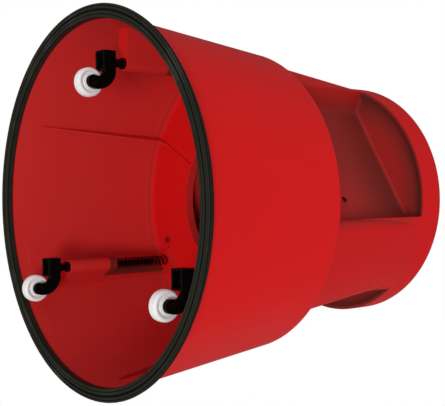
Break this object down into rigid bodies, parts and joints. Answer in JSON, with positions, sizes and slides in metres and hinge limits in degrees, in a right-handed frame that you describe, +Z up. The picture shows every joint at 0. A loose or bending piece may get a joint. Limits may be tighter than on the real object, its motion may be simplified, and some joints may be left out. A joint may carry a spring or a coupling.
{
  "type": "rolling step stool",
  "caption": "Round red rolling step stool with toe recesses, a rubber base ring and sprung swivel casters that lift clear when stood on.",
  "frame": {"origin": "on the floor, on the stool's axis, standing unloaded on its casters", "axes": "+Z up along the stool's axis; a toe recess faces -Y; a caster stands under +Y"},
  "size_m": [0.4399, 0.44, 0.4492],
  "materials": {
    "red_moulding": "moulded polypropylene, fine satin skin",
    "black_rubber": "matte moulded rubber",
    "tread_rubber": "ribbed anti-slip rubber",
    "black_plastic": "black glass-filled nylon",
    "white_wheel": "white moulded nylon",
    "plated_steel": "zinc plated",
    "blackened_steel": "black oxide"
  },
  "bodies": {
    "stool": {"lower_shell": "red_moulding", "upper_shell": "red_moulding", "base_ring": "black_rubber", "top_mat": "tread_rubber", "shell_screws": "plated_steel", "step_pad_1": "tread_rubber", "step_pad_2": "tread_rubber", "step_pad_3": "tread_rubber", "stem_sleeve_1": "black_plastic", "caster_spring_1": "plated_steel", "stem_sleeve_2": "black_plastic", "caster_spring_2": "plated_steel", "stem_sleeve_3": "black_plastic", "caster_spring_3": "plated_steel"},
    "plunger_1": {"stem_1": "blackened_steel", "stem_clip_1": "plated_steel", "spring_seat_1": "plated_steel", "rivet_cap_1": "plated_steel"},
    "swivel_1": {"caster_housing_1": "black_plastic", "thrust_washer_1": "black_plastic", "axle_pin_1": "plated_steel"},
    "wheel_1": {"caster_wheel_1": "white_wheel"},
    "plunger_2": {"stem_2": "blackened_steel", "stem_clip_2": "plated_steel", "spring_seat_2": "plated_steel", "rivet_cap_2": "plated_steel"},
    "swivel_2": {"caster_housing_2": "black_plastic", "thrust_washer_2": "black_plastic", "axle_pin_2": "plated_steel"},
    "wheel_2": {"caster_wheel_2": "white_wheel"},
    "plunger_3": {"stem_3": "blackened_steel", "stem_clip_3": "plated_steel", "spring_seat_3": "plated_steel", "rivet_cap_3": "plated_steel"},
    "swivel_3": {"caster_housing_3": "black_plastic", "thrust_washer_3": "black_plastic", "axle_pin_3": "plated_steel"},
    "wheel_3": {"caster_wheel_3": "white_wheel"}
  },
  "joints": [
    {"name": "plunger_slide_1", "type": "slide", "parent": "stool", "child": "plunger_1", "axis": [0, 0, 1], "range_m": [0, 0.01], "stiffness_N_per_m": 1500, "springref_m": -0.02, "deforming": ["caster_spring_1"]},
    {"name": "swivel_turn_1", "type": "hinge", "parent": "plunger_1", "child": "swivel_1", "pos_m": [0, 0.16, 0.045], "axis": [0, 0, 1], "continuous": true},
    {"name": "wheel_roll_1", "type": "hinge", "parent": "swivel_1", "child": "wheel_1", "pos_m": [0.0033, 0.136, 0.0165], "axis": [1, 0, 0], "continuous": true},
    {"name": "plunger_slide_2", "type": "slide", "parent": "stool", "child": "plunger_2", "axis": [0, 0, 1], "range_m": [0, 0.01], "stiffness_N_per_m": 1500, "springref_m": -0.02, "deforming": ["caster_spring_2"]},
    {"name": "swivel_turn_2", "type": "hinge", "parent": "plunger_2", "child": "swivel_2", "pos_m": [-0.13856, -0.08, 0.045], "axis": [0, 0, 1], "continuous": true},
    {"name": "wheel_roll_2", "type": "hinge", "parent": "swivel_2", "child": "wheel_2", "pos_m": [-0.13526, -0.104, 0.0165], "axis": [1, 0, 0], "continuous": true},
    {"name": "plunger_slide_3", "type": "slide", "parent": "stool", "child": "plunger_3", "axis": [0, 0, 1], "range_m": [0, 0.01], "stiffness_N_per_m": 1500, "springref_m": -0.02, "deforming": ["caster_spring_3"]},
    {"name": "swivel_turn_3", "type": "hinge", "parent": "plunger_3", "child": "swivel_3", "pos_m": [0.13856, -0.08, 0.045], "axis": [0, 0, 1], "continuous": true},
    {"name": "wheel_roll_3", "type": "hinge", "parent": "swivel_3", "child": "wheel_3", "pos_m": [0.14186, -0.104, 0.0165], "axis": [1, 0, 0], "continuous": true}
  ]
}
